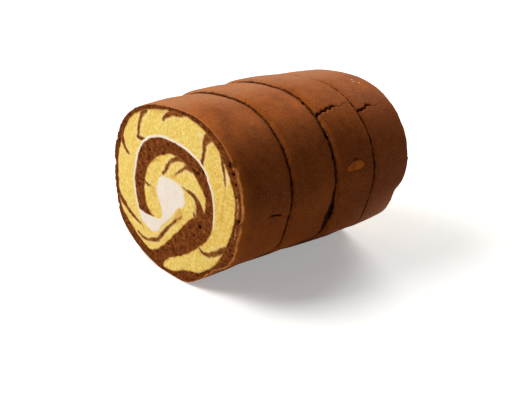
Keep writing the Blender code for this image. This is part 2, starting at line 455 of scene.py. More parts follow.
# Splits in the skin: the slice, half the width, the depth, and the way as (distance behind the
# slice's front cut, angle up from the right side).
SPLITS = (
    (3, 0.43, 1.5, ((-0.5, 43.2), (0.9, 45.9), (2.2, 45.2), (3.4, 46.6), (4.9, 45.7), (6.2, 47.9),
                    (7.8, 46.6), (8.9, 48.1), (10.8, 47.6))),
    (3, 0.16, 0.35, ((10.8, 47.6), (12.6, 46.5), (14.4, 47.3), (16.0, 48.9), (18.1, 48.0), (20.2, 46.5))),
    (4, 0.43, 1.4, ((-0.3, 42.0), (1.1, 43.4), (2.6, 42.6), (4.3, 43.9), (5.6, 43.3), (7.2, 45.0),
                    (9.8, 44.2))),
    (4, 0.18, 0.3, ((11.0, 43.9), (13.0, 43.0), (14.6, 44.0), (16.2, 43.8))),
    (1, 0.36, 0.8, ((13.8, 2.4), (15.4, 2.8), (17.1, 2.2), (19.0, 1.5), (20.6, 1.2), (22.2, 0.3))),
    (3, 0.34, 0.5, ((7.9, 19.0), (9.4, 19.4), (11.6, 19.1))),
    (4, 0.26, 0.4, ((12.0, 13.8), (13.8, 13.5))),
)
PATCH = (3, 9.7, 15.6, 5.3, 2.6)        # slice, distance, angle, and half its length and height
SPECKS = ((4, 16.4, 66.6), (4, 17.4, 62.3), (4, 15.2, 64.4))
CHIP_ANGLE, CHIP_SPREAD, CHIP_LENGTH = -19.0, 12.0, 6.5      # the broken edge at the far end


def skin_grid(number, front, back):
    """The solid's outside as rows of points from the front cut to the back cut."""
    shape = joined_mesh(f"chocolate_sponge_{number}")
    tree = BVHTree.FromBMesh(shape)
    shape.free()
    thickness = back.depth(front.middle[1]) - front.depth(front.middle[1])
    first = EDGE_ROWS[-1] + 0.42
    inner = np.linspace(first, thickness - first, round((thickness - 2 * first) / ROW_SPACING) + 1)
    parts = np.concatenate((EDGE_ROWS, inner, thickness - EDGE_ROWS[::-1])) / thickness
    angles = np.linspace(-0.5 * math.pi, 1.5 * math.pi, AROUND, endpoint=False)
    reach = np.empty((len(parts), AROUND))
    middles = front.middle + (back.middle - front.middle) * parts[:, None]
    for row, part in enumerate(np.clip(parts, 0.004, 0.996)):
        base = front.base + (back.base - front.base) * part
        lean = front.lean + (back.lean - front.lean) * part
        x, z = middles[row]
        middle = Vector((x, base + lean * z, z))
        for step, angle in enumerate(angles):
            way = Vector((math.cos(angle), lean * math.sin(angle), math.sin(angle)))
            hit = tree.ray_cast(middle + way * 75.0, -way)[0]
            reach[row, step] = math.hypot(hit.x - x, hit.z - z)
    waves = np.arange(AROUND // 2 + 1)
    keep = np.exp(-0.5 * (waves * FACET_BLUR / reach.mean()) ** 2)
    reach = np.fft.irfft(np.fft.rfft(reach, axis=1) * keep, AROUND, axis=1) - SKIN_INSET
    for _ in range(2):
        reach[1:-1] = (reach[:-2] + 2.0 * reach[1:-1] + reach[2:]) / 4.0
    return parts, angles, middles, reach


def place_skin(front, back, parts, angles, middles, reach):
    grid = np.empty((*reach.shape, 3))
    grid[..., 0] = middles[:, :1] + reach * np.cos(angles)
    grid[..., 2] = np.maximum(middles[:, 1:] + reach * np.sin(angles), 0.0)
    grid[..., 1] = (front.depth(grid[..., 2]) * (1.0 - parts[:, None])
                    + back.depth(grid[..., 2]) * parts[:, None])
    return grid


def grid_point(grid, parts, thickness, behind, angle):
    """The place on the skin a distance behind the front cut and at an angle, in degrees."""
    row = np.interp(behind / thickness, parts, np.arange(len(parts)))
    step = int(((angle + 90.0) % 360.0) / 360.0 * AROUND) % AROUND
    low = min(int(row), len(parts) - 2)
    return grid[low, step] + (grid[low + 1, step] - grid[low, step]) * (row - low)


def make_skin(number, front, back):
    """The skin of a slice with its waves, splits, torn edges and marks."""
    parts, angles, middles, reach = skin_grid(number, front, back)
    grid = place_skin(front, back, parts, angles, middles, reach)
    shape = reach.shape
    places = grid.reshape(-1, 3)
    around = grid * (1.0, 0.25, 1.0)         # varies round the roll more than along it
    thickness = (back.depth(40.0) - front.depth(40.0))
    behind = (grid[..., 1] - front.depth(grid[..., 2]))
    ahead = (back.depth(grid[..., 2]) - grid[..., 1])
    degrees = np.broadcast_to(np.degrees(angles), shape)
    degrees = np.where(degrees > 180.0, degrees - 360.0, degrees)
    firm = fade(grid[..., 2], 0.0, 6.0)

    sunk = np.zeros(shape)
    along = np.zeros(shape)
    torn = np.zeros(shape)
    for size, height in BODY_WAVES:
        sunk += height * (0.5 + 0.5 * hills(grid, size, 40 + number))
    inner_edge = np.full(shape, 20.0)
    opened = np.full(shape, -3.0)
    for inner_cut, way, gap in ((number - 1, 1, behind), (number, -1, ahead)):
        if inner_cut not in WEAR:
            continue
        worn = 0.40 + 0.9 * hills(around, 1.5, 50 + 3 * number + way)
        worn += 0.8 * hills(around, 4.2, 60 + 3 * number + way)
        worn = np.clip(worn, 0.0, 1.8) * WEAR[inner_cut]
        if inner_cut == 2:
            gaping = np.exp(-((degrees + 9.0) / 10.0) ** 2)
            worn *= 1.0 + 3.0 * gaping
            # the gap at cut 2's lower right, which the skin's colour paints near black as shade
            opened = np.maximum(opened, 1.15 * gaping - 0.35 - gap + 0.12 * hills(around, 1.5, 74))
        inner_edge = np.minimum(inner_edge, gap + 0.15 - 0.9 * worn)
        sunk += 1.1 * worn * np.exp(-gap / 0.55)
        along += way * worn * np.exp(-gap / 0.9)
    open_gap = behind if number == 1 else ahead if number == 4 else np.full(shape, 20.0)
    nicks = hills(around, 1.6, 51) + 0.7 * hills(around, 4.5, 52)
    sunk += np.clip(nicks + 0.1, 0.0, 1.2) * 0.26 * np.exp(-open_gap / 0.8)

    if number == 1:
        right = fade(degrees, -62.0, -50.0) * (1.0 - fade(degrees, 20.0, 42.0))
        left = fade(np.abs(degrees), 146.0, 156.0)
        level = grid * (1.0, 0.0, 1.0)
        wave = hills(level, 5.0, 61) + 0.6 * hills(level, 2.1, 62)
        sunk += right * np.clip(0.45 + wave, 0.0, 2.0) * 0.75 * np.exp(-behind / 1.8)
        along += right * np.clip(wave + 0.3, 0.0, 2.0) * 0.8 * np.exp(-behind / 2.2)
        notch = np.exp(-((degrees - 1.8) / 2.1) ** 2) + 0.8 * np.exp(-((degrees - 32.5) / 1.6) ** 2)
        sunk += notch * 1.5 * np.exp(-(behind / 1.7) ** 2)
        torn += notch * np.exp(-(behind / 1.5) ** 2)
        flakes = fade(hills(level, 1.7, 63) + 0.8 * hills(level, 5.5, 66), -0.30, 0.40)
        sunk += left * flakes * 0.85 * np.exp(-(behind / 1.1) ** 2)
        torn += left * flakes * np.exp(-(behind / 0.8) ** 2)
    if number == 4:
        chip = np.exp(-((degrees - CHIP_ANGLE) / CHIP_SPREAD) ** 4)
        rough = 1.0 + 0.30 * hills(grid, 3.5, 64) + 0.15 * hills(grid, 1.4, 65)
        broken = chip * fade(-ahead, -CHIP_LENGTH, 0.5) * rough
        sunk += broken * 2.6
        along -= chip * rough * 2.2 * np.exp(-ahead / 4.0)
        torn += fade(broken, 0.10, 0.35)

    opened = opened.reshape(-1)
    for slice_number, half_width, depth, way in SPLITS:
        if slice_number != number:
            continue
        line = np.array([grid_point(grid, parts, thickness, *spot) for spot in way])
        line = even_steps(line, 0.25)
        line[:, 2] += 0.30 * hills(line, 0.9, 71)
        ends = np.minimum(np.arange(len(line)), np.arange(len(line))[::-1]) * 0.25
        width = half_width * (0.30 + 0.70 * fade(ends, 0.0, 1.8))
        width *= 1.0 + 0.55 * hills(line, 0.8, 72)
        near = np.linalg.norm(places - line.mean(axis=0), axis=1) < 18.0
        gap = np.linalg.norm(places[near][:, None] - line[None], axis=2)
        inside = (width - gap).max(axis=1)
        # each split's inside, which the skin's colour paints near black as shade
        opened[near] = np.maximum(opened[near], inside)
        sunk.reshape(-1)[near] += depth * fade(inside, -0.30, 0.28)

    patch = np.full(shape, -3.0)
    if number == PATCH[0]:
        length = (behind - PATCH[1]) / PATCH[3]
        height = np.radians(degrees - PATCH[2]) * reach / PATCH[4] + 0.35 * fade(-length, 0.0, 1.0)
        patch = 1.0 - np.hypot(length, height / (0.88 + 0.18 * length))
        patch -= 0.07 * hills(grid, 2.6, 73)
        sunk += 0.14 * fade(patch, -0.05, 0.15)
    speck = np.full(shape, -3.0)
    for slice_number, distance, angle in SPECKS:
        if slice_number == number:
            spot = grid_point(grid, parts, thickness, distance, angle)
            speck = np.maximum(speck, 0.6 - np.linalg.norm(grid - spot, axis=2))

    grid = place_skin(front, back, parts, angles, middles, reach - sunk * firm)
    grid[..., 1] += along * firm
    grid[..., 1] = np.clip(grid[..., 1], cad_box[0][1] / MM + 0.01, cad_box[1][1] / MM - 0.01)
    # How far each point lies from the painted glow along slice 1's front cut, on the right side only.
    glow_reach = behind if number == 1 else 20.0
    glow_reach = glow_reach + 3.0 * fade(degrees, 25.0, 75.0) + 3.0 * fade(np.abs(degrees), 120.0, 150.0)
    marks = {"inner_edge": inner_edge, "open_edge": np.minimum(open_gap, 20.0),
             "painted_glow_gap": np.minimum(glow_reach, 20.0), "opened": opened,
             "turned": np.abs(degrees),
             "torn": np.clip(torn, 0.0, 1.0), "patch": patch, "speck": speck}
    return grid, {name: value.reshape(-1) for name, value in marks.items()}


skin_finish, tree, shader, place = food_finish("baked_skin", 0.60, 0.02)
shader.inputs["Sheen Weight"].default_value = 0.03
shader.inputs["Sheen Roughness"].default_value = 0.45
colour = over(tree, mottled(tree, place, 85.0, 2.4), (0.195, 0.038, 0.0036), (0.385, 0.088, 0.0085))
colour = over(tree, 0.46, colour, over(tree, mottled(tree, place, 24.0, 4.2),
                                       (0.090, 0.016, 0.0018), (0.480, 0.112, 0.0120)))
colour = over(tree, 0.26, colour, over(tree, mottled(tree, place, 210.0, 2.8),
                                       (0.100, 0.017, 0.0015), (0.520, 0.122, 0.0130)))
turned = blurred(tree, mark(tree, "turned"), place, 60.0, 24.0)
# Painted sheen: skin that faces up, and a little of the left flank, is painted paler and pinker for the haze of
# light on it.
painted_top_sheen = calculate(tree, "MULTIPLY", step_between(tree, turned, 60.0, 92.0),
                    step_between(tree, turned, 112.0, 150.0, 1.0, 0.35))
colour = over(tree, painted_top_sheen, colour, (0.440, 0.190, 0.092), 0.75)
above = add_node(tree, "ShaderNodeSeparateXYZ", {0: place})
# Painted shade: the right flank above its lowest part, and the left flank, are painted darker and redder.
painted_flank_shade = calculate(tree, "MULTIPLY", step_between(tree, turned, 56.0, 26.0),
                   step_between(tree, above.outputs["Z"], 0.016, 0.034))
painted_flank_shade = calculate(tree, "MAXIMUM", painted_flank_shade, step_between(tree, turned, 112.0, 150.0))
colour = over(tree, painted_flank_shade, colour, (0.095, 0.008, 0.0003), 0.44)
# Painted bounce light: the lower right flank towards the far end is painted paler, for light thrown up from below.
painted_bounce_light = calculate(tree, "MULTIPLY", step_between(tree, above.outputs["Y"], 0.004, 0.044),
                   step_between(tree, above.outputs["Z"], 0.044, 0.020))
painted_bounce_light = calculate(tree, "MULTIPLY", painted_bounce_light, step_between(tree, turned, 80.0, 50.0))
colour = over(tree, painted_bounce_light, colour, (0.560, 0.235, 0.1150), 0.72)
dark_grain = over(tree, 0.85, colour, (0.050, 0.009, 0.0010))
light_grain = over(tree, 0.45, colour, (0.640, 0.240, 0.0700))
grains = over(tree, mottled(tree, place, 1900.0, 3.6), dark_grain, light_grain)
colour = over(tree, 0.42, colour, grains)
# Painted light: a warm glow along slice 1's front edge on the right side, a faint wide band and a bright narrow
# line, where light shines through the edge in shade.
painted_glow_gap = blurred(tree, mark(tree, "painted_glow_gap"), place, 260.0, 2.4)
colour = over(tree, step_between(tree, painted_glow_gap, 6.0, 1.0), colour, (0.46, 0.115, 0.012), 0.40)
colour = over(tree, step_between(tree, painted_glow_gap, 1.6, 0.4), colour, (1.00, 0.350, 0.075), 0.95)
open_edge = blurred(tree, mark(tree, "open_edge"), place, 700.0, 0.5)
colour = over(tree, step_between(tree, open_edge, 0.70, 0.15), colour, (0.46, 0.19, 0.070), 0.55)
patch = blurred(tree, mark(tree, "patch"), place, 500.0, 0.12)
colour = over(tree, step_between(tree, patch, -0.16, 0.0), colour, (0.080, 0.017, 0.003), 0.45)
stained = over(tree, mottled(tree, place, 420.0, 2.4), (0.340, 0.085, 0.0090), (0.620, 0.165, 0.0200))
colour = over(tree, step_between(tree, patch, -0.02, 0.20), colour, stained, 0.80)
colour = over(tree, step_between(tree, mark(tree, "speck"), 0.0, 0.25), colour, (0.70, 0.42, 0.22))
colour = over(tree, mark(tree, "torn"), colour, (0.19, 0.050, 0.010))
# Where the skin is worn back at an inner cut, crumb shows, mixed with near-black painted shade of the gap between
# the slices.
crumb_and_gap_shade = over(tree, step_between(tree, noise(tree, place, 620.0, 2.0), 0.54, 0.66),
               (0.035, 0.008, 0.002), (0.30, 0.100, 0.024))
inner_edge = blurred(tree, mark(tree, "inner_edge"), place, 900.0, 1.0)
colour = over(tree, step_between(tree, inner_edge, 0.50, 0.12), colour, crumb_and_gap_shade, 0.85)
# Painted shade: the insides of the splits and the gap at cut 2's lower right are painted near black.
opened = blurred(tree, mark(tree, "opened"), place, 900.0, 0.4)
colour = over(tree, step_between(tree, opened, -0.15, 0.12), colour, (0.016, 0.004, 0.001))
tree.links.new(colour, shader.inputs["Base Color"])
suede = calculate(tree, "ADD", noise(tree, place, 2100.0, 3.0, 0.7),
                  calculate(tree, "MULTIPLY", noise(tree, place, 320.0), 0.5))
raise_surface(tree, shader, suede, 0.00016, 0.7)

# ---------------------------------------------------------------------------------------------
# The slices: each one's cuts are covered with one net of points whose triangles are shared out
# to the three layers, so that the layers meet exactly along their borders.
NET_SPACING = 0.36
COARSE = 1.15
RIM_REACH = 4.5              # how far in from the skin a hidden cut is finely made
LAYERS = ("chocolate", "vanilla", "cream")
CREAM_THINNER = 0.24         # the spread cream's strip is a little thinner than its solid


def read_borders(number, way):
    """The borders inside the skin: round all the filling, and between vanilla and cream.

    The second one starts and ends at points of the first, which are given by their numbers."""
    filling = smooth_ring(cut_loops(f"chocolate_sponge_{number}", way)[0][::-1, FLAT],
                          BORDER_SPACING)
    cream = cut_loops(f"cream_{number}", way)[0][:, FLAT]
    vanilla = cut_loops(f"vanilla_sponge_{number}", way)[0][:, FLAT]
    filling_tree, vanilla_tree = tree_of(filling), tree_of(vanilla)
    away = distance_to(filling_tree, cream) > 0.5
    start = np.flatnonzero(away & ~np.roll(away, 1))[0]
    cream, away = np.roll(cream, -start, axis=0), np.roll(away, -start)
    free = cream[:np.argmin(away)]
    middle = [(point + vanilla[vanilla_tree.find((*point, 0.0))[1]]) / 2 for point in free]
    ends = [filling_tree.find((*point, 0.0))[1] for point in (middle[0], middle[-1])]
    border = curve_through([filling[ends[0]], *middle, filling[ends[1]]], BORDER_SPACING)[1:-1]
    nearest = filling[[filling_tree.find((*point, 0.0))[1] for point in border]]
    strip = fade(np.linalg.norm(nearest - border, axis=1), 3.2, 2.0)
    return filling, border + (nearest - border) * (CREAM_THINNER * strip)[:, None], ends


def scattered(low, high, spacing, seed):
    """A loose, even scatter of points over a rectangle."""
    rows = np.arange(low[1], high[1], spacing * 0.866)
    columns = np.arange(low[0], high[0], spacing)
    x, z = np.meshgrid(columns, rows)
    x[1::2] += spacing / 2
    luck = np.random.default_rng(seed)
    points = np.column_stack((x.ravel(), z.ravel()))
    return points + luck.uniform(-0.22, 0.22, points.shape) * spacing


def make_net(outer, filling, border, ends, fine, seed):
    """A net of triangles over a cut, with the number of each triangle's layer."""
    fixed = np.vstack((outer, filling, border))
    fixed_tree, rim_tree = tree_of(fixed), tree_of(outer)
    low, high = outer.min(axis=0), outer.max(axis=0)
    loose = scattered(low, high, NET_SPACING if fine else 0.5, seed)
    kept = loose[distance_to(fixed_tree, loose) > 0.24]
    if not fine:
        kept = kept[distance_to(rim_tree, kept) < RIM_REACH]
        inner = scattered(low, high, COARSE, seed + 1)
        inner = inner[(distance_to(fixed_tree, inner) > 0.7 * COARSE)
                      & (distance_to(rim_tree, inner) > RIM_REACH)]
        kept = np.vstack((kept, inner))
    first, second = len(outer), len(outer) + len(filling)
    stretch = (ends[0] - ends[1]) % len(filling)
    closing = [first + (ends[1] + step) % len(filling) for step in range(stretch + 1)]
    rings = [list(range(first)), list(range(first, second)), list(range(second, len(fixed))) + closing]
    points = np.vstack((fixed, kept))
    verts, _, faces, _, _, owners = delaunay_2d_cdt([Vector(p) for p in points], [], rings, 0, 1e-5)
    if len(verts) != len(points):
        raise SystemExit(f"the net has {len(verts)} points, not {len(points)}")
    level = np.array([max(owner) if owner else -1 for owner in owners])
    faces = np.array([tuple(face) for face in faces])[level >= 0]
    used, faces = np.unique(faces, return_inverse=True)
    return points[used], faces.reshape(-1, 3), level[level >= 0]


def round_rim(points, middle, rim, values):
    """Values of the rim's points, carried inwards to every point in the same direction."""
    turn = np.arctan2(points[:, 1] - middle[1], points[:, 0] - middle[0])
    rim_turn = np.arctan2(rim[:, 1] - middle[1], rim[:, 0] - middle[0])
    order = np.argsort(rim_turn)
    return np.interp(turn, rim_turn[order], values[order], period=2 * math.pi)


class CutNet:
    """The net over one cut: where its points lie, and how far they are from the borders."""

    def __init__(self, number, cut, own, faces_cut, rim, own_rim, borders, fine, seed):
        filling, border, ends = borders
        outer = own_rim[:, FLAT]
        flat, self.faces, self.level = make_net(outer, filling, border, ends, fine, seed)
        self.fine = fine
        self.rim_gap = distance_to(tree_of(outer), flat)
        self.filling_gap = distance_to(tree_of(filling), flat)
        self.border_gap = distance_to(tree_of(np.vstack((outer, filling, border))), flat)
        for on_border in (self.rim_gap[:len(outer)],
                          self.border_gap[:len(outer) + len(filling) + len(border)]):
            on_border[:] = 0.0
        places = np.column_stack((flat[:, 0], np.full(len(flat), 7.0 * number), flat[:, 1]))
        ragged = np.column_stack([0.32 * hills(places, 2.3, 80 + axis)
                                  + 0.13 * hills(places, 0.8, 84 + axis) for axis in (0, 1)])
        firm = fade(self.rim_gap, 0.0, 1.2) * (0.35 + 0.65 * fade(self.filling_gap, 4.0, 0.0))
        ragged *= firm[:, None]
        self.swirl = (flat - own.middle) / (own.size / first_size)
        self.places = np.column_stack((self.swirl[:, 0], np.full(len(flat), 30.0 * number + 11.0 * cut.way),
                                       self.swirl[:, 1]))
        self.swirl = self.swirl + 1.6 * (number - 1) * np.column_stack(
            [hills(self.places, 15.0, 90 + axis) for axis in (0, 1)]) + ragged
        moved = flat + ragged
        if cut is not own:
            scale = cut.size / own.size
            moved = (moved - own.middle) * scale + cut.middle
            carried = (outer - own.middle) * scale + cut.middle
            pull = rim[:, FLAT] - carried
            drag = np.column_stack([round_rim(moved, cut.middle, carried, pull[:, axis])
                                    for axis in (0, 1)])
            moved += drag * np.exp(-self.rim_gap / 4.0)[:, None]
        bend = round_rim(moved, cut.middle, rim[:, FLAT], rim[:, 1] - cut.depth(rim[:, 2]))
        self.depth = cut.depth(moved[:, 1]) + bend * np.exp(-self.rim_gap / 2.0)
        self.flat, self.rim, self.inward = moved, rim, -cut.way
        self.pressed = fade(self.rim_gap, 2.0, 6.0) * (faces_cut is not None)
        self.swell = 0.0
        if faces_cut is not None:
            kerf = (faces_cut.depth(moved[:, 1]) - cut.depth(moved[:, 1])) * cut.way
            self.swell = (kerf / 2 + 0.08) * self.pressed

    def placed(self, sunk):
        """The net's points with the cut sunk at each of them, or pressed against the next slice."""
        sunk = np.maximum(sunk * (1.0 - self.pressed), 0.03) - self.swell
        depth = self.depth + self.inward * sunk
        depth = np.clip(depth, cad_box[0][1] / MM + 0.01, cad_box[1][1] / MM - 0.01)
        points = np.column_stack((self.flat[:, 0], depth, np.maximum(self.flat[:, 1], 0.0)))
        points[:len(self.rim)] = self.rim
        return points


class Slice:
    """One slice: its skin, and the nets over its two cuts by the way that they face."""

    def __init__(self, number):
        self.number = number
        front, back = Cut(number, -1), Cut(number, 1)
        self.skin, self.skin_marks = make_skin(number, front, back)
        shown = 1 if number == 4 else -1
        own, rims = (front, back)[shown > 0], {-1: self.skin[0], 1: self.skin[-1]}
        borders = read_borders(number, shown)
        before = Cut(number - 1, 1) if number > 1 else None
        after = Cut(number + 1, -1) if number < 4 else None
        self.nets = {cut.way: CutNet(number, cut, own, faces_cut, rims[cut.way], rims[shown], borders,
                                     faces_cut is None, 11 * number + 2 * cut.way)
                     for cut, faces_cut in ((front, before), (back, after))}


def make_layer(layer, cake_slice, relief, with_skin=False):
    """One closed mesh from a layer's two cuts, the walls between them and any skin outside.

    The relief tells how far each point of a net is sunk and measures what colours it."""
    numbers, faces_of, all_points, all_marks, start = {}, {}, [], {}, 0
    for way, net in cake_slice.nets.items():
        mine = net.faces[net.level == layer]
        used = np.unique(mine)
        own_sunk, marks = relief(net)
        inside = fade(net.border_gap, 0.0, 0.5)
        shared_sunk = 0.14 + 0.07 * hills(net.places, 5.0, 97)
        points = net.placed(own_sunk * inside + shared_sunk * (1.0 - inside))
        numbers[way] = np.full(len(points), -1)
        numbers[way][used] = np.arange(start, start + len(used))
        start += len(used)
        faces_of[way] = mine
        all_points.append(points[used])
        for name, values in marks.items():
            all_marks.setdefault(name, []).append(values[used])
    directed = np.vstack([faces_of[-1][:, pair] for pair in ((0, 1), (1, 2), (2, 0))])
    codes = directed @ (10 ** 7, 1)
    walls = directed[~np.isin(codes, directed @ (1, 10 ** 7))]
    walls = walls[~(walls < AROUND).all(axis=1)]
    near, far = numbers[-1], numbers[1]
    sides = np.column_stack((near[walls[:, 1]], near[walls[:, 0]], far[walls[:, 0]], far[walls[:, 1]]))
    faces = near[faces_of[-1]].tolist() + far[faces_of[1]][:, ::-1].tolist() + sides.tolist()
    crumb_faces = len(faces)
    if with_skin:
        rows = len(cake_slice.skin)
        grid = np.empty((rows, AROUND), int)
        grid[0], grid[-1] = near[:AROUND], far[:AROUND]
        grid[1:-1] = start + np.arange((rows - 2) * AROUND).reshape(rows - 2, AROUND)
        after = np.roll(grid, -1, axis=1)
        faces += np.stack((after[:-1], grid[:-1], grid[1:], after[1:]), axis=2).reshape(-1, 4).tolist()
        all_points.append(cake_slice.skin[1:-1].reshape(-1, 3))
        for values in all_marks.values():
            values.append(np.zeros((rows - 2) * AROUND))
        for name, values in cake_slice.skin_marks.items():
            spread = np.zeros(start + (rows - 2) * AROUND)
            spread[grid.reshape(-1)] = values
            all_marks[name] = [spread]
    name = f"{LAYERS[layer]}_layer_{cake_slice.number}"
    mesh = bpy.data.meshes.new(name)
    mesh.from_pydata((np.vstack(all_points) * MM).tolist(), [], faces)
    for label, values in all_marks.items():
        attribute = mesh.attributes.new(label, "FLOAT", "POINT")
        attribute.data.foreach_set("value", np.concatenate(values).astype(np.float32))
    mesh.polygons.foreach_set("use_smooth", np.ones(len(faces), bool))
    mesh.polygons.foreach_set("material_index", (np.arange(len(faces)) >= crumb_faces).astype(np.int32))
    mesh.set_sharp_from_angle(angle=math.radians(62))
    mesh.update()
    piece = bpy.data.objects.new(name, mesh)
    bpy.context.scene.collection.objects.link(piece)
    return piece


def depth_in(ways, points):
    """How deep each point of a cut lies in drawn streaks, below 0 outside them.

    A streak is half its width at the start, in the middle and at the end, and its way."""
    deepest = np.full(len(points), -3.0)
    for start, middle, end, way in ways:
        line = curve_through(way, 0.35)
        width = np.interp(np.linspace(0, 1, len(line)), (0.0, 0.5, 1.0), (start, middle, end)) * 1.15
        near = np.all((points > line.min(axis=0) - 5.0) & (points < line.max(axis=0) + 5.0), axis=1)
        if near.any():
            gap = np.linalg.norm(points[near][:, None] - line[None], axis=2)
            deepest[near] = np.maximum(deepest[near], (width - gap).max(axis=1))
    return deepest


first_size = Cut(1, -1).size
slices = [Slice(number) for number in (1, 2, 3, 4)]

# ---------------------------------------------------------------------------------------------
# The chocolate layers: dark open crumb inside the skin, lighter on the walls of its holes and
# painted darker with shade down in them, with a thin tan line where it lies against vanilla or
# cream; the cuts hidden between the slices are painted darker with shade. They hold the skin as well.
# Vanilla drawn through the chocolate, in millimetres from the vanilla's middle.
PALE_WAYS = (
    (0.25, 0.60, 0.25, ((43.2, 17.0), (44.0, 10.0), (44.0, 3.0))),
    (0.25, 0.50, 0.20, ((43.2, 0.5), (42.2, -4.0), (40.8, -8.5))),
)
# Large holes that the knife has opened: x, z, radius and depth.
OPENED_HOLES = ((40.3, 26.3, 1.7, 1.7), (41.8, 23.2, 1.0, 1.1), (45.0, 2.6, 1.4, 1.6), (19.0, -9.2, 1.2, 1.4),
                (14.8, -14.6, 0.8, 0.8), (-15.4, 17.2, 0.8, 0.9), (-1.4, 24.0, 0.8, 0.9),
                (20.3, 18.8, 0.7, 0.8), (43.3, 19.0, 0.8, 0.9), (39.4, -12.5, 0.7, 0.8))


def chocolate_relief(net):
    """Uneven crumb with many open holes, and a few large ones."""
    turned = net.places @ np.array(((0.82, 0.0, -0.57), (0.0, 1.0, 0.0), (0.57, 0.0, 0.82)))
    pores = holes(turned, 1.15, 0.46, 101)
    large = holes(turned, 3.4, 0.85, 109)
    opened = np.zeros(len(turned))
    sunk = 0.16 + 0.10 * hills(net.places, 4.0, 100) + 0.14 * hills(turned, 0.9, 105)
    sunk += 0.34 * pores + 0.60 * large
    for x, z, radius, depth in OPENED_HOLES:
        gap = np.linalg.norm(net.swirl - (x, z), axis=1) / radius
        gap += 0.22 * hills(net.places, 0.9, 106)
        opened = np.maximum(opened, fade(gap, 1.15, 0.55))
        sunk = np.maximum(sunk, depth * fade(gap, 1.25, 0.30))
    # Hidden cuts get a rim of -20, which the crumb's colour paints darker as shade between the slices.
    gap = net.rim_gap if net.fine else net.rim_gap * 0.0 - 20.0
    # the knife-opened holes count beyond 1, so the crumb's colour paints them near black as shade
    pore = np.maximum(np.maximum(pores, large), opened * 1.3) * fade(net.rim_gap, 0.0, 0.7)
    return sunk, {"pore": pore, "rim": gap, "edge": np.minimum(net.filling_gap, 20.0),
                  "pale": depth_in(PALE_WAYS, net.swirl)}


crumb_finish, tree, shader, place = food_finish("chocolate_crumb", 0.9, 0.04)
pores = use_group(tree, foam, place, Holes_per_Metre=1150.0, Hole_Size=0.42)
colour = over(tree, mottled(tree, place, 420.0, 3.0), (0.085, 0.017, 0.0028), (0.320, 0.090, 0.0175))
edge = blurred(tree, mark(tree, "edge"), place, 700.0, 0.6)
colour = over(tree, step_between(tree, edge, 0.62, 0.05), colour, (0.42, 0.155, 0.036), 0.85)
rim = blurred(tree, mark(tree, "rim"), place, 500.0, 1.2)
colour = over(tree, step_between(tree, rim, 3.4, 1.2), colour, (0.115, 0.027, 0.005), 0.45)
colour = over(tree, step_between(tree, rim, 0.60, 0.0), colour, (0.42, 0.140, 0.032), 0.7)
# Painted shade on the cuts hidden between the slices.
colour = over(tree, step_between(tree, rim, -5.0, -10.0), colour, (0.060, 0.013, 0.0025), 0.70)
pale = blurred(tree, mark(tree, "pale"), place, 520.0, 1.2)
colour = over(tree, step_between(tree, pale, -0.15, 0.45), colour, (0.58, 0.27, 0.085), 0.75)
# Painted shade in the holes: deeper pores darker, the knife-opened holes near black, and the foam's fine holes as
# dark dots.
colour = over(tree, step_between(tree, mark(tree, "pore"), 0.20, 0.90), colour, (0.045, 0.010, 0.002), 0.78)
colour = over(tree, step_between(tree, mark(tree, "pore"), 0.90, 1.25), colour, (0.014, 0.003, 0.001), 0.9)
colour = over(tree, pores.outputs["Holes"], colour, (0.050, 0.010, 0.0015), 0.60)
tree.links.new(colour, shader.inputs["Base Color"])
raise_surface(tree, shader, pores.outputs["Height"], 0.00025, 0.7)

for cake_slice in slices:
    piece = make_layer(0, cake_slice, chocolate_relief, with_skin=True)
    piece.data.materials.append(crumb_finish)
    piece.data.materials.append(skin_finish)
    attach(piece, "root")
    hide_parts(f"chocolate_sponge_{cake_slice.number}")

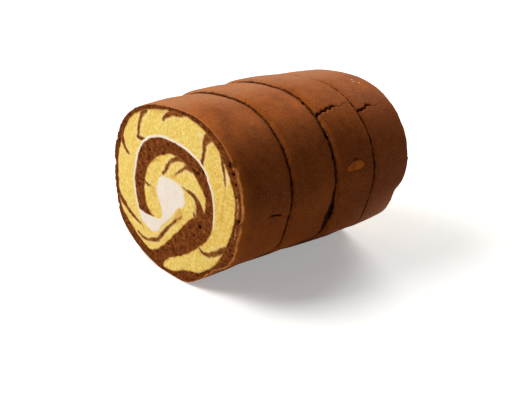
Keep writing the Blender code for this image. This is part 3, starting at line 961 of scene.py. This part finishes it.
# ---------------------------------------------------------------------------------------------
# The vanilla layers: close yellow sponge. Chocolate is drawn through it in soft-edged streaks,
# with ochre stains and milky places beside them, in millimetres from the vanilla's middle.
CHOCOLATE_WAYS = (
    (1.00, 0.52, 0.48, ((-16.4, 36.0), (-18.6, 34.2), (-20.5, 31.6), (-21.9, 28.2), (-22.9, 25.0), (-23.6, 21.6))),
    (0.50, 0.50, 0.35, ((-24.0, 21.3), (-21.0, 21.2), (-18.0, 21.5))),
    (1.50, 0.90, 0.30, ((-38.0, 22.5), (-36.7, 18.0), (-35.9, 14.6), (-34.0, 12.1), (-31.4, 10.6))),
    (0.90, 1.20, 1.00, ((-31.8, 30.4), (-35.2, 26.2), (-37.8, 21.8))),
    (1.30, 1.05, 0.55, ((9.2, 41.0), (4.9, 40.0), (0.9, 38.6), (-2.0, 36.9), (-3.6, 34.9))),
    (2.10, 0.85, 0.50, ((28.0, 36.6), (25.4, 33.6), (24.1, 31.0), (23.6, 27.4), (22.6, 24.0), (21.9, 21.6))),
    (1.00, 0.55, 0.15, ((33.6, 33.4), (35.0, 29.4), (35.6, 25.0), (36.1, 21.4), (36.7, 16.6))),
    (1.15, 0.80, 0.45, ((36.4, -13.4), (32.4, -15.8), (28.6, -18.3), (24.6, -20.4), (21.0, -20.9), (18.0, -19.2))),
    (0.60, 0.65, 0.75, ((-5.9, 8.9), (-3.9, 10.8), (-2.4, 13.4), (-0.4, 15.8), (2.4, 17.8), (5.6, 19.2), (9.4, 19.6), (13.4, 18.6))),
    (0.05, 0.55, 1.00, ((3.2, 11.1), (5.2, 12.7), (8.3, 14.8), (10.8, 16.7), (14.4, 17.0))),
    (0.20, 0.55, 1.00, ((8.2, 6.6), (12.0, 5.7), (15.4, 4.8), (17.8, 3.2))),
    (0.30, 0.60, 0.90, ((15.2, -3.6), (16.0, -6.0), (16.6, -8.4))),
    (1.10, 1.75, 2.40, ((17.8, 3.2), (19.3, 0.2), (19.8, -4.6))),
    (0.50, 0.45, 0.10, ((-20.8, 1.0), (-18.6, -0.4), (-16.2, -0.3))),
    (1.10, 1.15, 0.20, ((-44.6, -6.0), (-43.2, -12.2), (-40.2, -15.8), (-37.0, -18.2), (-33.2, -20.6), (-29.2, -22.4), (-26.0, -23.4))),
    (0.40, 0.65, 0.30, ((-28.4, -28.8), (-25.0, -30.2), (-20.8, -30.2), (-16.8, -28.8), (-12.8, -27.0), (-9.8, -24.2), (-7.0, -20.8), (-4.0, -17.6), (-0.8, -14.4), (2.4, -11.6))),
    (0.15, 0.25, 0.05, ((2.4, -11.6), (5.0, -9.8), (6.6, -8.0))),
)
OCHRE_WAYS = (
    (0.5, 0.9, 0.4, ((-9.6, 37.4), (-6.2, 38.0), (-3.2, 38.3))),
    (0.3, 0.6, 0.3, ((36.7, 15.4), (36.2, 11.8), (35.6, 9.6))),
    (0.3, 0.6, 0.4, ((34.8, 7.4), (34.5, 4.6))),
    (0.5, 0.9, 0.4, ((34.4, 3.2), (33.8, -0.8))),
    (0.9, 1.9, 1.5, ((0.8, -13.2), (3.6, -10.2), (5.6, -7.0))),
    (0.9, 0.7, 0.4, ((4.6, -4.4), (6.2, -6.6), (7.6, -9.0))),
    (0.8, 0.8, 0.4, ((0.6, 8.8), (3.4, 10.9), (5.2, 12.4))),
    (0.6, 0.8, 0.5, ((-14.2, 12.4), (-11.2, 13.9), (-8.2, 14.5))),
    (0.5, 0.8, 0.4, ((-16.4, -0.4), (-13.4, -1.0))),
    (0.5, 0.8, 0.4, ((-14.4, -2.0), (-13.2, -5.2))),
    (0.7, 0.9, 0.5, ((17.6, -19.2), (19.2, -22.6))),
    (0.5, 0.8, 0.5, ((-19.8, -14.4), (-16.4, -13.7))),
    (0.4, 0.8, 0.4, ((16.6, 1.2), (15.9, -2.0), (15.4, -4.8))),
    (0.5, 0.7, 0.3, ((-26.0, -23.4), (-23.4, -24.6))),
)
MILKY_WAYS = (
    (0.5, 1.1, 0.5, ((37.4, 27.2), (38.5, 22.8), (38.1, 17.6))),
    (0.5, 0.9, 0.4, ((-39.5, 17.6), (-38.4, 14.4))),
    (0.5, 0.8, 0.5, ((16.4, -0.5), (16.0, -4.4))),
    (0.6, 1.0, 0.6, ((22.2, 34.0), (20.4, 34.8))),
    (0.5, 0.8, 0.5, ((-33.0, 30.0), (-34.0, 22.0))),
)


def vanilla_relief(net):
    """Close soft crumb with small shallow holes."""
    turned = net.places @ np.array(((0.82, 0.0, -0.57), (0.0, 1.0, 0.0), (0.57, 0.0, 0.82)))
    stretched = turned * (0.72, 1.0, 1.15)
    pores = holes(stretched, 0.95, 0.34, 121)
    large = holes(stretched, 5.2, 0.60, 129)
    sunk = 0.12 + 0.09 * hills(net.places, 5.0, 120) + 0.07 * hills(stretched, 1.2, 125)
    sunk += 0.10 * pores + 0.24 * large
    return sunk, {"pore": np.maximum(0.6 * pores, large), "edge": np.minimum(net.filling_gap, 20.0),
                  "streak": depth_in(CHOCOLATE_WAYS, net.swirl), "stain": depth_in(OCHRE_WAYS, net.swirl),
                  "milky": depth_in(MILKY_WAYS, net.swirl)}


vanilla_finish, tree, shader, place = food_finish("vanilla_crumb", 0.9, 0.08)
pores = use_group(tree, foam, place, Holes_per_Metre=1500.0, Hole_Size=0.30)
colour = over(tree, mottled(tree, place, 150.0, 2.0), (0.82, 0.530, 0.082), (0.93, 0.710, 0.185))
across = add_node(tree, "ShaderNodeSeparateXYZ", {0: place})
colour = over(tree, step_between(tree, across.outputs["X"], 0.010, 0.028), colour, (0.80, 0.420, 0.032), 0.55)
colour = over(tree, mottled(tree, place, 850.0, 4.2), over(tree, 0.42, colour, (0.68, 0.390, 0.045)),
              over(tree, 0.50, colour, (1.00, 0.870, 0.340)))
colour = over(tree, mottled(tree, place, 1900.0, 3.6), colour, (0.66, 0.400, 0.060), 0.30)
# Painted shade in the holes: deeper pores and the foam's fine holes are painted darker.
colour = over(tree, step_between(tree, mark(tree, "pore"), 0.25, 0.95), colour, (0.60, 0.34, 0.050), 0.42)
colour = over(tree, pores.outputs["Holes"], colour, (0.66, 0.41, 0.075), 0.22)
streak = blurred(tree, mark(tree, "streak"), place, 430.0, 2.2, 5.0)
streak = blurred(tree, streak, place, 150.0, 1.1)
milky = blurred(tree, mark(tree, "milky"), place, 380.0, 1.6)
colour = over(tree, step_between(tree, milky, -0.7, 0.7), colour, (0.86, 0.70, 0.42), 0.6)
colour = over(tree, step_between(tree, streak, -2.0, -0.6), colour, (0.83, 0.67, 0.33), 0.45)
stain = blurred(tree, mark(tree, "stain"), place, 420.0, 1.9)
colour = over(tree, step_between(tree, stain, -0.6, 0.6), colour, (0.66, 0.36, 0.075), 0.75)
edge = blurred(tree, mark(tree, "edge"), place, 600.0, 1.2)
colour = over(tree, step_between(tree, edge, 0.75, -0.05), colour, (0.50, 0.23, 0.050), 0.75)
colour = over(tree, step_between(tree, streak, -0.80, -0.15), colour, (0.53, 0.245, 0.042), 0.80)
uneven = step_between(tree, noise(tree, place, 260.0, 4.0), 0.30, 0.58, 0.84, 1.0)
core = calculate(tree, "MULTIPLY", step_between(tree, streak, -0.50, 0.35), uneven)
drawn = over(tree, mottled(tree, place, 600.0, 3.6), (0.085, 0.016, 0.0022), (0.285, 0.072, 0.0105))
# Painted shade: the foam's fine holes show as dark dots in the streaks.
drawn = over(tree, pores.outputs["Holes"], drawn, (0.050, 0.011, 0.002), 0.6)
colour = over(tree, core, colour, drawn)
tree.links.new(colour, shader.inputs["Base Color"])
fuzz = calculate(tree, "ADD", noise(tree, place, 900.0, 4.0, 0.65),
                 calculate(tree, "MULTIPLY", pores.outputs["Height"], 0.35))
raise_surface(tree, shader, fuzz, 0.00022, 0.6)

for cake_slice in slices:
    piece = make_layer(1, cake_slice, vanilla_relief)
    piece.data.materials.append(vanilla_finish)
    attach(piece, "root")
    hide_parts(f"vanilla_sponge_{cake_slice.number}")

# ---------------------------------------------------------------------------------------------
# The cream layers: whipped and smooth, with a soft sheen and a few specks of air and of crumb;
# the air pits are painted darker with shade.
def cream_relief(net):
    """Smooth cream that the knife has wiped, with a few small pits."""
    pits = holes(net.places, 2.6, 0.40, 141)
    sunk = 0.10 + 0.08 * hills(net.places, 5.0, 140) + 0.04 * hills(net.places, 1.7, 145)
    return sunk + 0.14 * pits, {"pit": pits, "edge": np.minimum(net.border_gap, 20.0)}


cream_finish, tree, shader, place = food_finish("whipped_cream", 0.5, 0.3)
colour = over(tree, mottled(tree, place, 160.0, 1.5), (0.85, 0.73, 0.60), (0.92, 0.84, 0.76))
colour = over(tree, mottled(tree, place, 1100.0, 3.4), colour, (0.72, 0.57, 0.44), 0.30)
edge = blurred(tree, mark(tree, "edge"), place, 500.0, 0.8)
colour = over(tree, step_between(tree, edge, 0.80, 0.0), colour, (0.84, 0.66, 0.42), 0.55)
# Painted shade: the air pits are painted darker by their depth.
colour = over(tree, step_between(tree, mark(tree, "pit"), 0.1, 0.9), colour, (0.62, 0.45, 0.29), 0.45)
tree.links.new(colour, shader.inputs["Base Color"])
raise_surface(tree, shader, noise(tree, place, 420.0, 4.0), 0.00020, 0.5)

for cake_slice in slices:
    piece = make_layer(2, cake_slice, cream_relief)
    piece.data.materials.append(cream_finish)
    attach(piece, "root")
    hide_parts(f"cream_{cake_slice.number}")

# ---------------------------------------------------------------------------------------------
# Crumbs: what the knife has pulled loose. They cling to the rims of the cuts and to the lower
# part of the open cut, each one an irregular grain of baked chocolate sponge.
CRUMB_SIZE = (0.16, 0.50)    # half across, the smallest and the largest
luck = np.random.default_rng(77)
spots = []
for cake_slice in slices:
    skin = cake_slice.skin
    turns = np.arange(AROUND) / AROUND * 360.0 - 90.0
    for row, count, low, high in ((1, 26, -40.0, 150.0), (-2, 14, -40.0, 150.0)):
        for turn in luck.uniform(low, high, count):
            spots.append(skin[row, int((turn + 90.0) / 360.0 * AROUND)])
    if cake_slice.number == 1:
        for turn in luck.normal(184.0, 12.0, 46):
            spots.append(skin[0, int((turn + 90.0) / 360.0 * AROUND)] + (-0.35, 0.25, 0.0))
net = slices[0].nets[-1]
lower = np.unique(net.faces[net.level == 0])
lower = lower[(net.flat[lower, 1] < 30.0) & (net.rim_gap[lower] < 4.0) & (net.rim_gap[lower] > 0.3)]
for index in luck.choice(lower, 46, replace=False):
    spots.append(np.array((net.flat[index, 0], net.depth[index] + 0.12, net.flat[index, 1])))

grain = bmesh.new()
bmesh.ops.create_icosphere(grain, subdivisions=2, radius=1.0)
grain_points = np.array([tuple(vert.co) for vert in grain.verts])
grain_faces = np.array([[vert.index for vert in face.verts] for face in grain.faces])
grain.free()
crumb_points, crumb_faces = [], []
for number, spot in enumerate(spots):
    half = CRUMB_SIZE[0] + (CRUMB_SIZE[1] - CRUMB_SIZE[0]) * luck.random() ** 2.2
    lumps = 1.0 + 0.42 * hills(grain_points + (5.0 * number, 0.0, 0.0), 0.8, 150)
    stretch = luck.uniform(0.65, 1.25, 3)
    crumb_faces.append(grain_faces + len(crumb_points) * len(grain_points))
    crumb_points.append(spot + grain_points * lumps[:, None] * stretch * half)
crumb_points = np.clip(np.vstack(crumb_points), np.array(cad_box[0]) / MM + 0.02,
                       np.array(cad_box[1]) / MM - 0.02)

loose_finish, tree, shader, place = food_finish("loose_crumb", 0.9, 0.04)
pores = use_group(tree, foam, place, Holes_per_Metre=2400.0, Hole_Size=0.40)
colour = over(tree, mottled(tree, place, 300.0, 3.2), (0.110, 0.025, 0.005), (0.420, 0.145, 0.036))
# Painted shade: the foam's fine holes show as dark dots.
colour = over(tree, pores.outputs["Holes"], colour, (0.050, 0.011, 0.002), 0.5)
tree.links.new(colour, shader.inputs["Base Color"])
raise_surface(tree, shader, pores.outputs["Height"], 0.00012, 0.6)

mesh = bpy.data.meshes.new("crumbs")
mesh.from_pydata((crumb_points * MM).tolist(), [], np.vstack(crumb_faces).tolist())
mesh.polygons.foreach_set("use_smooth", np.ones(len(mesh.polygons), bool))
mesh.materials.append(loose_finish)
mesh.update()
crumbs = bpy.data.objects.new("crumbs", mesh)
bpy.context.scene.collection.objects.link(crumbs)
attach(crumbs, "root")
